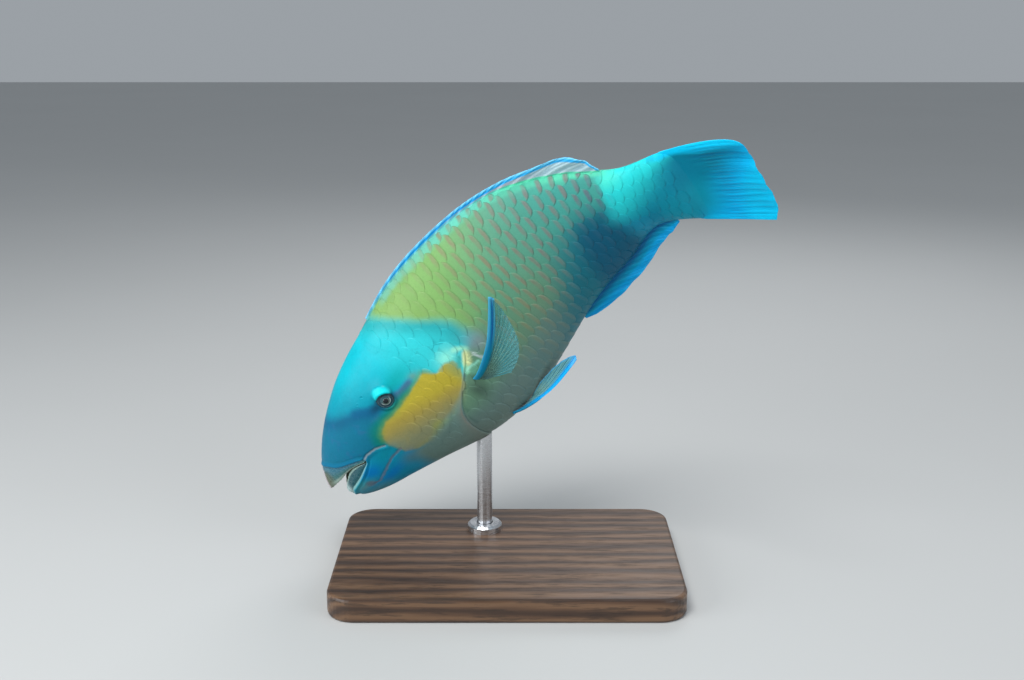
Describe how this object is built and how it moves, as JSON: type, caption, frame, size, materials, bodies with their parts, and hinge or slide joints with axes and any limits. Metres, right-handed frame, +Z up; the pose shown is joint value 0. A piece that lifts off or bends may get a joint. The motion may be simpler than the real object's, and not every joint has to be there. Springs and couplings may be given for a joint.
{
  "type": "parrotfish",
  "caption": "Life-size still model of a turquoise parrotfish, nose down and turning, held by a steel rod on a flat wooden display base",
  "frame": {"origin": "middle of the model's box, on the floor plane", "axes": "+Z up; the fish heads towards -X and down, its left side towards -Y, as the picture sees it"},
  "size_m": [0.2144, 0.1198, 0.2241],
  "materials": {
    "skin": "satin scaled fish skin, turquoise head and tail, green to blue-grey flank, ochre cheek",
    "fin": "thin rayed membrane, blue with brighter blue edges",
    "eye": "polished, dark pupil in a grey-lilac iris",
    "beak": "smooth fused tooth plates, blue-green with pale rims",
    "wood": "dark oiled hardwood with a fine open grain",
    "steel": "brushed stainless rod and collar"
  },
  "bodies": {
    "root": {"head": "skin", "trunk": "skin", "tail": "skin", "caudal_fin": "fin", "dorsal_fin": "fin", "anal_fin": "fin", "pectoral_fin_left": "fin", "pectoral_fin_right": "fin", "pelvic_fin_left": "fin", "pelvic_fin_right": "fin", "eye_left": "eye", "eye_right": "eye", "beak_upper": "beak", "beak_lower": "beak", "stand_base": "wood", "stand_collar": "steel", "stand_rod": "steel"}
  },
  "joints": []
}
